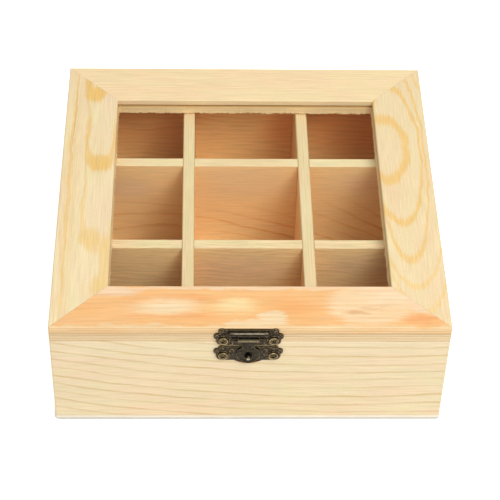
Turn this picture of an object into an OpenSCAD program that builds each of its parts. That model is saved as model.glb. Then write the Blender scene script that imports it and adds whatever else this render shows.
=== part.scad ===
// Tea bag organizer box: a pine box with nine compartments under a hinged lid,
// a glass window in the lid, and a small bronze hasp latch at the front.
// The origin is on the table under the middle of the box, front towards -Y, +Z up.

/* [Box] */
// Width of the box, left to right
box_w = 240; // [210:1:300]
// Depth of the box, front to back
box_d = 240; // [210:1:300]
// Height of the closed box, table to top of the lid
box_h = 85; // [75:1:130]
// Thickness of the solid pine walls
wall_t = 10; // [9:0.5:14]
// Thickness of the plywood bottom, glued under the walls
bottom_t = 3; // [2:0.5:6]
// End grain of the front and back boards that laps over the side boards
corner_lip = 4; // [2:0.5:6]
// Softened edge all round the box and the lid
arris = 0.6; // [0.3:0.1:1.2]

/* [Compartments] */
// Thickness of the dividers
divider_t = 7.5; // [5:0.5:10]
// Depth of the grooves in the walls that hold the ends of the dividers
housing_depth = 2; // [1:0.5:4]
// Softened edge along the top of each divider
divider_arris = 0.5; // [0.2:0.1:1]

/* [Lid] */
// Height of the whole lid, seam to top
lid_h = 12.5; // [12:0.5:16]
// Thickness of the mitred top frame
frame_t = 6; // [5:0.5:7]
// Width of each member of the top frame
frame_w = 34; // [28:1:42]
// Softened edge round the window
window_arris = 0.5; // [0.2:0.1:1]

/* [Window] */
// Thickness of the glass
glass_t = 2; // [1.5:0.5:3]
// Width of the rebate under the frame that takes the edge of the glass
rebate_w = 5; // [3:0.5:7]
// Width of the beads that hold the glass from below
bead_w = 9; // [8.5:0.5:12]
// Height of the beads
bead_h = 4.5; // [3:0.5:5]
// Distance between the two pins in each bead
bead_pin_spacing = 120; // [60:5:150]
// Diameter of a bead pin
bead_pin_dia = 1.2; // [0.8:0.1:1.6]
// Depth of a bead pin in the frame
bead_pin_bite = 3; // [2:0.5:4]

/* [Latch] */
// Place of the latch to the right of the middle of the box
latch_x = -1.2; // [-10:0.1:10]
// Width of the latch plates over their outer ears
latch_w = 41.8; // [39:0.2:48]
// Thickness of the latch plates
plate_t = 1; // [0.8:0.1:1.2]
// Distance from the end of a plate to its screw
latch_screw_inset = 5.7; // [5:0.1:6.4]
// Radius of the round pad about each screw
screw_pad_r = 4.3; // [4:0.1:4.6]
// Radius of the small ears on the plates
ear_r = 2.3; // [1.8:0.1:2.6]
// Height of the outer ears above the screws
ear_rise = 3.5; // [3:0.1:4]
// Distance of the upper ears inside the outer ones
ear_inset = 2.7; // [2:0.1:3.4]
// Height of the lid plate's screws above the seam
lid_screw_up = 2; // [1.8:0.1:2.6]
// Height of the lid plate
lid_plate_h = 14.3; // [13.8:0.1:14.3]
// Height of the stamped ridge's middle above the seam
ridge_up = 8.2; // [8.2:0.1:8.8]
// Radius of the stamped ridge
ridge_r = 2.2; // [1.8:0.1:2.2]
// Length of the stamped ridge
ridge_len = 25.2; // [20:0.2:28]
// Height of the hasp's axis above the seam
barrel_up = 3.8; // [3.6:0.1:3.8]
// Outer radius of the knuckles
barrel_r = 1.6; // [1.4:0.1:1.6]
// Length of all the knuckles together
barrel_len = 20; // [18:0.2:22]
// Radius of the pin in the knuckles
latch_pin_r = 0.7; // [0.5:0.05:0.8]
// Gap between the lid plate and the base plate
plates_gap = 0.8; // [0.5:0.1:1.5]
// Depth of the base plate's screws below its top edge
base_screw_drop = 8.2; // [7.5:0.1:9.5]
// Height of the base plate, top edge to the bottom of its bulge
base_h = 15.2; // [14:0.1:17.5]
// Width of the bulge under the base plate
bulge_w = 17.2; // [14:0.2:19]
// Thickness of the hasp
hasp_t = 0.9; // [0.7:0.1:1.1]
// Gap between the hasp and the plates behind it
hasp_gap = 0.3; // [0.2:0.05:0.5]
// Width of the hasp at its knuckle
hasp_w = 12.4; // [11:0.2:14]
// Width of the neck of the hasp
neck_w = 7; // [6.4:0.2:8]
// Radius of the round end of the hasp
hasp_end_r = 7; // [6.4:0.1:7.4]
// Height of the round end's middle above the stud
hasp_end_up = 1.8; // [1:0.1:2]
// Height of the lip that a finger lifts
lip_h = 1.8; // [1:0.1:2.4]
// How far the lip stands out from the hasp
lip_out = 0.8; // [0.4:0.1:1.2]
// Width of the slot in the hasp
slot_w = 4.6; // [4.4:0.1:5.2]
// Height of the slot
slot_h = 6.6; // [6.2:0.1:7]
// Height of the slot's middle above the stud
slot_up = 0.9; // [0.6:0.1:1]
// Depth of the stud's middle below the base plate's top edge
stud_drop = 7.8; // [7.2:0.1:8.4]
// Radius of the stud's head
stud_head_r = 1.8; // [1.5:0.05:1.85]
// Radius of the stud's neck
stud_neck_r = 1.3; // [1:0.05:1.4]
// Room behind the stud's head, in front of the hasp
stud_room = 0.6; // [0.3:0.1:1]

/* [Hinges] */
// Distance from the side of the box to the middle of a hinge
hinge_inset = 48; // [30:1:80]
// Length of a hinge
hinge_len = 25; // [20:1:40]
// Height of a hinge leaf, from the axis
leaf_h = 9; // [8:0.2:10]
// Thickness of a hinge leaf
leaf_t = 0.8; // [0.6:0.1:1]
// Outer radius of the hinge knuckles
knuckle_r = 1.8; // [1.5:0.1:2.2]
// Radius of the hinge pin
hinge_pin_r = 0.8; // [0.6:0.05:0.9]
// Distance between the two screws of a leaf
leaf_screw_spacing = 16; // [13:0.5:20]
// Distance from the hinge axis to the screws
leaf_screw_drop = 5.4; // [5:0.1:5.6]

/* [Screws] */
// Radius of a latch screw's shank
latch_shank_r = 1; // [0.7:0.1:1.3]
// Length of a latch screw in the wood
latch_screw_len = 7.5; // [5:0.5:8]
// Radius of a latch screw's head
latch_head_r = 3; // [2.6:0.1:3.4]
// Height of a latch screw's head
latch_head_h = 1.6; // [1:0.1:2]
// Radius of a hinge screw's shank
hinge_shank_r = 0.75; // [0.6:0.05:0.9]
// Length of a hinge screw in the wood
hinge_screw_len = 7; // [5:0.5:8]
// Radius of a hinge screw's head
hinge_head_r = 1.9; // [1.6:0.1:2.2]
// Height of a hinge screw's head
hinge_head_h = 1; // [0.8:0.1:1.4]

/* [Fits] */
// Play at each side of a divider in its grooves and notches
wood_play = 0.1; // [0.05:0.05:0.3]
// Play all round the glass in its rebate
glass_play = 0.5; // [0.3:0.1:1]
// Radial play of a turning knuckle on its pin
running_play = 0.05; // [0.03:0.01:0.08]
// Radial play of a screw, pin or stud in the piece that holds it
tight_play = 0.02; // [0.01:0.01:0.04]
// Gap between a barrel and the wood or the knuckle beside it
barrel_gap = 0.3; // [0.2:0.05:0.5]

/* [Hidden] */
$fn = 64;
cut = 1;                       // how far a cutting shape reaches past a face

pine = "#ecd6a6";
heartwood = "#e9bd86";
plywood = "#dfc594";
clear_glass = [0.82, 0.90, 0.88, 0.35];
bronze = "#40382d";
worn_bronze = "#8c7a52";
steel = "#b8b2a4";

SIDES = ["front", "right", "back", "left"];
function turn_of(side) = 90 * search([side], SIDES)[0];
function is_end(side) = side == "front" || side == "back";
function span(side) = is_end(side) ? box_w : box_d;
function reach(side) = (is_end(side) ? box_d : box_w) / 2;

// Levels
seam_z = box_h - lid_h;
frame_z = box_h - frame_t;
halving_z = (bottom_t + seam_z) / 2;

// Equal compartments between the dividers
function divider_place(outer) = ((outer - 2 * wall_t) - 2 * divider_t) / 6 + divider_t / 2;
long_x = divider_place(box_w);
cross_y = divider_place(box_d);

// Latch, on the front face
front_y = -box_d / 2;
barrel_y = front_y - barrel_gap - barrel_r;
barrel_z = seam_z + barrel_up;
lid_screw_z = seam_z + lid_screw_up;
base_top_z = lid_screw_z - screw_pad_r - plates_gap;
base_screw_z = base_top_z - base_screw_drop;
stud_z = base_top_z - stud_drop;
slot_z = stud_z + slot_up;
hasp_end_z = stud_z + hasp_end_up;
latch_screw_x = latch_w / 2 - latch_screw_inset;
pad_trim = 0.2;                // plates are cut straight a little above their pads' lowest points
ear_dip = 0.5;                 // and a little below the tops of their upper ears
pad_low = screw_pad_r - pad_trim;
stud_rim = 0.2;                // straight edge under the dome of the stud's head

// How far each cross recess is turned, left screw and right screw
LID_SCREW_TURNS = [68, 34];
BASE_SCREW_TURNS = [52, 20];
HINGE_SCREW_TURNS = [65, 10];

// Hinges, on the back face
hinge_x = box_w / 2 - hinge_inset;
hinge_y = box_d / 2 + barrel_gap + knuckle_r;
middle_knuckle = hinge_len / 3;
knuckle_room = 0.5;            // open strip between a knuckle and the leaf beside it
leaf_corner_r = 1.5;

// ---------- Shared shapes ----------

// Rectangle about the origin with its corners cut off at 45 degrees
module cut_rect(w, h, c) {
    x = w / 2;
    y = h / 2;
    polygon([[-x + c, -y], [x - c, -y], [x, -y + c], [x, y - c],
             [x - c, y], [-x + c, y], [-x, y - c], [-x, -y + c]]);
}

// Block with the outer size of the box between two levels, every edge softened
module soft_block(z0, z1) {
    h = z1 - z0;
    intersection() {
        translate([0, 0, z0]) linear_extrude(h) cut_rect(box_w, box_d, arris);
        translate([0, box_d / 2, (z0 + z1) / 2]) rotate([90, 0, 0])
            linear_extrude(box_d) cut_rect(box_w, h, arris);
        translate([-box_w / 2, 0, (z0 + z1) / 2]) rotate([90, 0, 90])
            linear_extrude(box_w) cut_rect(box_d, h, arris);
    }
}

// Turns a piece drawn at the front, its outer face on the X axis, to another side
module on_side(side) {
    rotate([0, 0, turn_of(side)]) translate([0, -reach(side), 0]) children();
}

// Board of a wall or of the lid's rim, drawn with its outer face on the X axis.
// The front and back boards lap over the ends of the side boards.
module rabbeted_board(side, z0, z1) {
    length = is_end(side) ? box_w : box_d - 2 * corner_lip;
    difference() {
        translate([-length / 2, 0, z0]) cube([length, wall_t, z1 - z0]);
        if (is_end(side))
            for (end = [-1, 1])
                translate([end * box_w / 2 - wall_t, corner_lip, z0 - cut])
                    cube([2 * wall_t, wall_t, z1 - z0 + 2 * cut]);
    }
}

// Flat strip with mitred ends, from a cross-section drawn in depth and height
module mitred_strip(length, width, z0) {
    intersection() {
        translate([-length / 2, 0, z0]) rotate([90, 0, 90]) linear_extrude(length) children();
        translate([0, 0, z0 - cut]) linear_extrude(box_h)
            polygon([[-length / 2, 0], [length / 2, 0],
                     [length / 2 - width, width], [-length / 2 + width, width]]);
    }
}

// Round bar along X about the origin
module bar_x(r, length) {
    rotate([0, 90, 0]) cylinder(r = r, h = length, center = true);
}

// Disc or hole through a plate that stands in the X-Z plane, from one depth to another
module bar_y(r, y0, y1) {
    translate([0, y1, 0]) rotate([90, 0, 0]) cylinder(r = r, h = y1 - y0);
}

// Round-headed wood screw, head towards +Z, underside of the head at the origin
module wood_screw(shank_r, length, head_r, head_h, turn) {
    rim = head_h * 0.3;
    dome = head_h - rim;
    dome_r = (head_r * head_r + dome * dome) / (2 * dome);
    recess_l = head_r * 1.15;
    recess_w = head_r * 0.28;
    recess_d = head_h * 0.6;
    difference() {
        rotate_extrude() {
            polygon([[0, -length], [shank_r, -length + 2 * shank_r], [shank_r, 0], [0, 0]]);
            square([head_r, rim]);
            intersection() {
                translate([0, rim]) square([head_r, dome]);
                translate([0, head_h - dome_r]) circle(r = dome_r, $fn = 128);
            }
        }
        for (arm = [0, 90])
            rotate([0, 0, turn + arm])
                translate([-recess_l / 2, -recess_w / 2, head_h - recess_d])
                    cube([recess_l, recess_w, recess_d + cut]);
    }
}

// ---------- Box ----------

module bottom_panel() {
    color(plywood) intersection() {
        soft_block(0, seam_z);
        translate([-box_w / 2, -box_d / 2, 0]) cube([box_w, box_d, bottom_t]);
    }
}

// Grooves for the divider ends, in a wall drawn with its outer face on the X axis
module housings(side) {
    groove_w = divider_t + 2 * wood_play;
    for (end = [-1, 1])
        translate([end * (is_end(side) ? long_x : cross_y) - groove_w / 2,
                   wall_t - housing_depth, bottom_t - cut])
            cube([groove_w, housing_depth + cut, seam_z]);
}

module wall(side) {
    color(pine) difference() {
        intersection() {
            soft_block(0, seam_z);
            on_side(side) rabbeted_board(side, bottom_t, seam_z);
        }
        on_side(side) housings(side);
        if (side == "front") latch_holes(base_screw_z);
        if (side == "back") hinge_holes(-1);
    }
}

module front_wall() { wall("front"); }
module back_wall() { wall("back"); }
module left_wall() { wall("left"); }
module right_wall() { wall("right"); }

// ---------- Dividers ----------

// Divider drawn along X, standing on the bottom, notched where it meets the others
module divider(outer, crossing, notch_z0, notch_z1) {
    length = outer - 2 * wall_t + 2 * (housing_depth - wood_play);
    height = seam_z - bottom_t;
    notch_w = divider_t + 2 * wood_play;
    difference() {
        translate([-length / 2, 0, bottom_t]) rotate([90, 0, 90]) linear_extrude(length)
            polygon([[-divider_t / 2, 0], [divider_t / 2, 0],
                     [divider_t / 2, height - divider_arris],
                     [divider_t / 2 - divider_arris, height],
                     [-divider_t / 2 + divider_arris, height],
                     [-divider_t / 2, height - divider_arris]]);
        for (end = [-1, 1])
            translate([end * crossing - notch_w / 2, -divider_t, notch_z0])
                cube([notch_w, 2 * divider_t, notch_z1 - notch_z0]);
    }
}

// The long dividers run front to back and are notched from below
module long_divider(end) {
    color(pine) translate([end * long_x, 0, 0]) rotate([0, 0, 90])
        divider(box_d, cross_y, bottom_t - cut, halving_z + wood_play);
}

// The cross dividers run left to right and are notched from above
module cross_divider(end) {
    color(pine) translate([0, end * cross_y, 0])
        divider(box_w, long_x, halving_z, seam_z + cut);
}

module long_divider_left() { long_divider(-1); }
module long_divider_right() { long_divider(1); }
module cross_divider_front() { cross_divider(-1); }
module cross_divider_back() { cross_divider(1); }

// ---------- Lid ----------

module lid_rim(side) {
    color(pine) difference() {
        intersection() {
            soft_block(seam_z, box_h);
            on_side(side) rabbeted_board(side, seam_z, frame_z);
        }
        if (side == "front") latch_holes(lid_screw_z);
        if (side == "back") hinge_holes(1);
    }
}

module lid_rim_front() { lid_rim("front"); }
module lid_rim_back() { lid_rim("back"); }
module lid_rim_left() { lid_rim("left"); }
module lid_rim_right() { lid_rim("right"); }

// Member of the top frame: a flat board with a rebate for the glass under its inner edge
module lid_frame(side) {
    intersection() {
        soft_block(seam_z, box_h);
        difference() {
            on_side(side) mitred_strip(span(side), frame_w, frame_z)
                polygon([[0, 0], [frame_w - rebate_w, 0], [frame_w - rebate_w, glass_t],
                         [frame_w, glass_t], [frame_w, frame_t - window_arris],
                         [frame_w - window_arris, frame_t], [0, frame_t]]);
            bead_pins(side, tight_play);
        }
    }
}

module lid_frame_front() { color(heartwood) lid_frame("front"); }
module lid_frame_back() { color(pine) lid_frame("back"); }
module lid_frame_left() { color(pine) lid_frame("left"); }
module lid_frame_right() { color(pine) lid_frame("right"); }

// ---------- Window ----------

module window_glass() {
    pane_edge = frame_w - rebate_w + glass_play;
    color(clear_glass)
        translate([-box_w / 2 + pane_edge, -box_d / 2 + pane_edge, frame_z])
            cube([box_w - 2 * pane_edge, box_d - 2 * pane_edge, glass_t]);
}

// Bead under the edge of the glass, flush with the window opening
module glass_bead(side) {
    color(pine) difference() {
        on_side(side) translate([0, frame_w - bead_w, 0])
            mitred_strip(span(side) - 2 * (frame_w - bead_w), bead_w, frame_z - bead_h)
                square([bead_w, bead_h]);
        bead_pins(side, tight_play);
    }
}

module glass_bead_front() { glass_bead("front"); }
module glass_bead_back() { glass_bead("back"); }
module glass_bead_left() { glass_bead("left"); }
module glass_bead_right() { glass_bead("right"); }

// Two pins up through a bead into the frame beside the rebate, or their holes
module bead_pins(side, play) {
    pin_y = frame_w - (rebate_w + bead_w) / 2;
    on_side(side) for (end = [-1, 1])
        translate([end * bead_pin_spacing / 2, pin_y, frame_z - bead_h - (play > 0 ? cut : 0)])
            cylinder(d = bead_pin_dia + 2 * play,
                     h = bead_h + bead_pin_bite + (play > 0 ? cut : 0));
}

module glass_bead_pins() {
    color(steel) for (side = SIDES) bead_pins(side, 0);
}

// ---------- Latch ----------

// Puts a piece drawn about the middle of the latch at a height on the front face
module on_front(z) {
    translate([latch_x, front_y, z]) children();
}

module latch_holes(z) {
    for (end = [-1, 1])
        on_front(z) translate([end * latch_screw_x, 0, 0])
            bar_y(latch_shank_r + tight_play, -cut, latch_screw_len + tight_play);
}

module latch_screws(z, turns) {
    color(worn_bronze) for (i = [0, 1])
        on_front(z) translate([(2 * i - 1) * latch_screw_x, -plate_t, 0]) rotate([90, 0, 0])
            wood_screw(latch_shank_r, latch_screw_len + plate_t, latch_head_r, latch_head_h,
                       turns[i]);
}

module latch_lid_screws() { latch_screws(lid_screw_z, LID_SCREW_TURNS); }
module latch_base_screws() { latch_screws(base_screw_z, BASE_SCREW_TURNS); }

// Outline of a latch plate about the level of its screws, with two scalloped ends
module plate_outline(top_rise) {
    ear_x = latch_w / 2 - ear_r;
    top_x = ear_x - ear_inset;
    for (end = [-1, 1]) {
        translate([end * latch_screw_x, 0]) circle(r = screw_pad_r);
        translate([end * ear_x, ear_rise]) circle(r = ear_r);
        translate([end * top_x, top_rise - ear_r]) circle(r = ear_r);
        translate([end * top_x - ear_r / 2, 0]) square([ear_r, top_rise - ear_r]);
    }
    translate([-latch_screw_x, -pad_low])
        square([2 * latch_screw_x, top_rise - ear_dip + pad_low]);
}

// Plate of a given outline on the front face, with its two screw holes
module latch_plate(z) {
    on_front(z) difference() {
        rotate([90, 0, 0]) linear_extrude(plate_t) children();
        for (end = [-1, 1]) translate([end * latch_screw_x, 0, 0])
            bar_y(latch_shank_r + tight_play, -plate_t - cut, cut);
    }
}

// Half-round ridge stamped out of the sheet, or with a smaller radius its hollow back
module ridge(r, z) {
    on_front(z) intersection() {
        translate([0, -plate_t, 0]) union() {
            bar_x(r, ridge_len - 2 * ridge_r);
            for (end = [-1, 1]) translate([end * (ridge_len / 2 - ridge_r), 0, 0]) sphere(r = r);
        }
        translate([-ridge_len / 2, -2 * ridge_r - plate_t, -ridge_r])
            cube([ridge_len, 2 * ridge_r + plate_t, 2 * ridge_r]);
    }
}

// The lid plate has a window for the hasp's knuckle, between two knuckles of its own
module latch_lid_plate() {
    ridge_z = seam_z + ridge_up;
    window_w = hasp_w + 2 * barrel_gap;
    window_h = 2 * (barrel_r + barrel_gap);
    knuckle_w = (barrel_len - window_w) / 2;
    color(bronze) difference() {
        union() {
            difference() {
                latch_plate(lid_screw_z) plate_outline(lid_plate_h - screw_pad_r);
                on_front(barrel_z) translate([-window_w / 2, -plate_t - cut, -window_h / 2])
                    cube([window_w, plate_t + 2 * cut, window_h]);
            }
            ridge(ridge_r, ridge_z);
            for (end = [-1, 1])
                translate([latch_x + end * (window_w + knuckle_w) / 2, barrel_y, barrel_z])
                    bar_x(barrel_r, knuckle_w);
        }
        ridge(ridge_r - plate_t, ridge_z);
        translate([latch_x, barrel_y, barrel_z])
            bar_x(latch_pin_r + tight_play, barrel_len + 2 * cut);
    }
}

module latch_hinge_pin() {
    color(worn_bronze) translate([latch_x, barrel_y, barrel_z]) bar_x(latch_pin_r, barrel_len);
}

// Front outline of the hasp: straight at the knuckle, waisted, round at the end
module hasp_outline() {
    waist_r = (hasp_w - neck_w) / 2;
    waist_z = hasp_end_z + hasp_end_r;
    difference() {
        union() {
            translate([-hasp_w / 2, waist_z]) square([hasp_w, barrel_z - waist_z]);
            translate([-neck_w / 2, hasp_end_z]) square([neck_w, hasp_end_r + cut]);
            translate([0, hasp_end_z]) circle(r = hasp_end_r);
        }
        for (end = [-1, 1]) {
            translate([end * hasp_w / 2, waist_z]) circle(r = waist_r);
            translate([0, slot_z + end * (slot_h - slot_w) / 2]) circle(d = slot_w);
        }
        translate([-slot_w / 2, slot_z - (slot_h - slot_w) / 2])
            square([slot_w, slot_h - slot_w]);
    }
}

// Side view of the hasp's sheet from its axis, out towards the front: flat, with a lip
module hasp_sheet() {
    root = -(latch_pin_r + barrel_r) / 2;
    inner = plate_t + hasp_gap - barrel_gap - barrel_r;
    outer = inner + hasp_t;
    low = hasp_end_z - hasp_end_r - barrel_z;
    polygon([[inner, root], [outer, root], [outer, low + lip_h], [outer + lip_out, low],
             [inner + lip_out, low], [inner, low + lip_h]]);
}

module latch_hasp() {
    color(bronze) translate([latch_x, barrel_y, barrel_z]) difference() {
        union() {
            bar_x(barrel_r, hasp_w);
            intersection() {
                translate([-hasp_w, 0, 0]) rotate([90, 0, 90])
                    linear_extrude(2 * hasp_w) mirror([1, 0]) hasp_sheet();
                translate([0, 2 * barrel_r, -barrel_z]) rotate([90, 0, 0])
                    linear_extrude(4 * barrel_r) hasp_outline();
            }
        }
        bar_x(latch_pin_r + running_play, hasp_w + 2 * cut);
    }
}

module latch_base_plate() {
    bulge_low = base_h - base_screw_drop;
    bulge_h = bulge_low - pad_low;
    bulge_r = (bulge_w * bulge_w / 4 + bulge_h * bulge_h) / (2 * bulge_h);
    color(bronze) difference() {
        latch_plate(base_screw_z) {
            plate_outline(base_screw_drop);
            intersection() {
                translate([0, bulge_r - bulge_low]) circle(r = bulge_r, $fn = 128);
                translate([-bulge_w / 2, -bulge_low]) square([bulge_w, bulge_h + cut]);
            }
        }
        on_front(stud_z) bar_y(stud_neck_r + tight_play, -plate_t - cut, cut);
    }
}

// Stud riveted in the base plate: its head stands in the slot of the closed hasp
module latch_stud() {
    neck = plate_t + hasp_gap + hasp_t + stud_room;
    color(bronze) on_front(stud_z) rotate([90, 0, 0]) rotate_extrude() {
        square([stud_neck_r, neck]);
        translate([0, neck]) square([stud_head_r, stud_rim]);
        translate([0, neck + stud_rim]) intersection() {
            circle(r = stud_head_r);
            square(stud_head_r);
        }
    }
}

// ---------- Hinges ----------

// Middles of the hinges on the axis where the lid turns
module at_hinge(end) {
    translate([end * hinge_x, hinge_y, seam_z]) children();
}

// Pilot holes of both hinges, above the seam for the lid or below it for the box
module hinge_holes(up) {
    for (end = [-1, 1], screw = [-1, 1])
        translate([end * hinge_x + screw * leaf_screw_spacing / 2, box_d / 2,
                   seam_z + up * leaf_screw_drop])
            bar_y(hinge_shank_r + tight_play, -hinge_screw_len - tight_play, cut);
}

module hinge_screws(up) {
    color(worn_bronze) for (end = [-1, 1], i = [0, 1])
        translate([end * hinge_x + (i - 0.5) * leaf_screw_spacing, box_d / 2 + leaf_t,
                   seam_z + up * leaf_screw_drop])
            rotate([-90, 0, 0])
                wood_screw(hinge_shank_r, hinge_screw_len + leaf_t, hinge_head_r, hinge_head_h,
                           end * HINGE_SCREW_TURNS[i]);
}

module hinge_box_screws() { hinge_screws(-1); }
module hinge_lid_screws() { hinge_screws(1); }

// Leaf with knuckles of the given middles and length, drawn upwards about the axis
module hinge_leaf(knuckles, knuckle_len, bore_r) {
    face_y = -knuckle_r - barrel_gap;
    plate_low = knuckle_r + knuckle_room;
    difference() {
        union() {
            translate([0, face_y + leaf_t, 0]) rotate([90, 0, 0]) linear_extrude(leaf_t) {
                translate([-hinge_len / 2, plate_low])
                    square([hinge_len, leaf_h - plate_low - leaf_corner_r]);
                translate([-hinge_len / 2 + leaf_corner_r, plate_low])
                    square([hinge_len - 2 * leaf_corner_r, leaf_h - plate_low]);
                for (end = [-1, 1])
                    translate([end * (hinge_len / 2 - leaf_corner_r), leaf_h - leaf_corner_r])
                        circle(r = leaf_corner_r);
                for (x = knuckles)
                    translate([x - knuckle_len / 2, barrel_gap])
                        square([knuckle_len, plate_low]);
            }
            for (x = knuckles) translate([x, 0, 0]) bar_x(knuckle_r, knuckle_len);
        }
        bar_x(bore_r, hinge_len + 2 * cut);
        for (screw = [-1, 1])
            translate([screw * leaf_screw_spacing / 2, 0, leaf_screw_drop])
                bar_y(hinge_shank_r + tight_play, face_y - cut, face_y + leaf_t + cut);
    }
}

module lid_leaf(end) {
    color(bronze) at_hinge(end)
        hinge_leaf([0], middle_knuckle - barrel_gap, hinge_pin_r + running_play);
}

module box_leaf(end) {
    outer_knuckle = (hinge_len - middle_knuckle - barrel_gap) / 2;
    outer_x = (hinge_len - outer_knuckle) / 2;
    color(bronze) at_hinge(end) mirror([0, 0, 1])
        hinge_leaf([-outer_x, outer_x], outer_knuckle, hinge_pin_r + tight_play);
}

module hinge_pin(end) {
    color(worn_bronze) at_hinge(end) bar_x(hinge_pin_r, hinge_len);
}

module hinge_left_box_leaf() { box_leaf(-1); }
module hinge_left_lid_leaf() { lid_leaf(-1); }
module hinge_left_pin() { hinge_pin(-1); }
module hinge_right_box_leaf() { box_leaf(1); }
module hinge_right_lid_leaf() { lid_leaf(1); }
module hinge_right_pin() { hinge_pin(1); }

// ---------- Assembly ----------

bottom_panel();
front_wall();
back_wall();
left_wall();
right_wall();
long_divider_left();
long_divider_right();
cross_divider_front();
cross_divider_back();
lid_rim_front();
lid_rim_back();
lid_rim_left();
lid_rim_right();
lid_frame_front();
lid_frame_back();
lid_frame_left();
lid_frame_right();
window_glass();
glass_bead_front();
glass_bead_back();
glass_bead_left();
glass_bead_right();
glass_bead_pins();
latch_lid_plate();
latch_hinge_pin();
latch_hasp();
latch_base_plate();
latch_stud();
latch_lid_screws();
latch_base_screws();
hinge_left_box_leaf();
hinge_left_lid_leaf();
hinge_left_pin();
hinge_right_box_leaf();
hinge_right_lid_leaf();
hinge_right_pin();
hinge_box_screws();
hinge_lid_screws();
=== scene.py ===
import math
import random

import bpy
from mathutils import Matrix, Vector


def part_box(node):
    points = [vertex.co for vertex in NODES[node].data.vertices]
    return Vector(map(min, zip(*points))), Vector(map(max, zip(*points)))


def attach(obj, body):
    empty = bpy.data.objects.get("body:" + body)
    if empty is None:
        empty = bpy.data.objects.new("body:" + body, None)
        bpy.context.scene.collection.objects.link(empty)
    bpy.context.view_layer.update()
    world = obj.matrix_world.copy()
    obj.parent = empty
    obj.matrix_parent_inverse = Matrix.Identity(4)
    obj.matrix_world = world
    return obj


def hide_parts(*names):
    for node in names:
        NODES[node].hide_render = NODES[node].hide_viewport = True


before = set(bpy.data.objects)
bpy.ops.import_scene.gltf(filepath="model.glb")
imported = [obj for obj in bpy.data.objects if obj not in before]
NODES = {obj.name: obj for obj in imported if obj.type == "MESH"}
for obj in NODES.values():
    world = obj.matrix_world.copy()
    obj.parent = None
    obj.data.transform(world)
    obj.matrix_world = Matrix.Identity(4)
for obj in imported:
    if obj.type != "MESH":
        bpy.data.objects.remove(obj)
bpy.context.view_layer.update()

MM = 0.001


def linear(hex_colour):
    """Linear colour of an sRGB hex value."""
    parts = [int(hex_colour[i:i + 2], 16) / 255 for i in (1, 3, 5)]
    return [c / 12.92 if c <= 0.04045 else ((c + 0.055) / 1.055) ** 2.4 for c in parts] + [1]


def add(tree, kind, inputs=(), **settings):
    """Adds a node, sets it, and fills its inputs, by place or by name, with values or links."""
    made = tree.nodes.new("ShaderNode" + kind)
    for setting, value in settings.items():
        setattr(made, setting, value)
    for key, value in inputs.items() if isinstance(inputs, dict) else enumerate(inputs):
        if isinstance(value, bpy.types.Node):
            value = next(out for out in value.outputs if out.enabled)
        if isinstance(value, bpy.types.NodeSocket):
            tree.links.new(value, made.inputs[key])
        elif value is not None:
            made.inputs[key].default_value = value
    return made


def new_material(name):
    """Empty material and its node tree."""
    material = bpy.data.materials.new(name)
    material.use_nodes = True
    material.node_tree.nodes.clear()
    return material, material.node_tree


def paint(node, material):
    """Gives a CAD node one material all over."""
    mesh = NODES[node].data
    if not mesh.materials:
        mesh.materials.append(material)
    for i in range(len(mesh.materials)):
        mesh.materials[i] = material


# ---------- Pine ----------

LOW, HIGH = 0, 1


def lying(axes, node, side):
    """How a board lies: its axes along the grain, across it and through it, the level in mm of
    its show face, which is the low or high side of a node's box, and which way the wood lies
    behind that face."""
    level = round(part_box(node)[side]["XYZ".index(axes[2])] / MM, 1)
    return axes, level, -1 if side == HIGH else 1


LIE_FRONT = lying("XZY", "front_wall", LOW)
LIE_BACK = lying("XZY", "back_wall", HIGH)
LIE_LEFT = lying("YZX", "left_wall", LOW)
LIE_RIGHT = lying("YZX", "right_wall", HIGH)
LIE_TOP_X = lying("XYZ", "lid_frame_front", HIGH)
LIE_TOP_Y = lying("YXZ", "lid_frame_left", HIGH)
LIE_BEAD_X = lying("XYZ", "glass_bead_front", HIGH)
LIE_BEAD_Y = lying("YXZ", "glass_bead_left", HIGH)

# Sapwood, seen bare and sanded: cream with honey-coloured summer wood
CREAM, HONEY, ROSE, STRAW = "#f8e0b4", "#dfb878", "#fbd9ae", "#f3dfa8"
# Open pores of a cut end, and a pale arris: raised fibres on a sanded arris, and a painted
# highlight where it catches the light
CUT_END, ARRIS_FIBRES_AND_HIGHLIGHT = "#cfa56a", "#fff2da"

# Sizes of the patterns in mm, along the grain, across it and through it: drift and flushes of
# the sapwood, fainter stretches of a ring, its sway, and what breaks up the edge of a figure
CLOUD, BLUSH, FADING = (60, 14, 14), (26, 9, 9), (30, 8, 8)
SWAY_ACROSS = 26
FRINGE, WAVER, RIPPLE = (40, 0.9, 9), (22, 12, 12), (7, 2.4, 9)
# Real fibres are 0.03 mm wide, and pores are finer than the render: both are drawn coarser, so
# that they show
FIBRE, PORE = (18, 0.8, 0.8), (0.9, 0.5, 0.5)
# How far apart the patterns of two seeds lie in the noise
SEED_STEPS = (3.7, 5.3, 1.9)
# How square the shoulders of a patch are: 2 is an ellipse
PATCH_POWER = 2.4
# Rounding of the arrises, and height of the raised fibres, in mm
ARRIS_RADIUS, FIBRE_RELIEF = 0.5, 0.12

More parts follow.
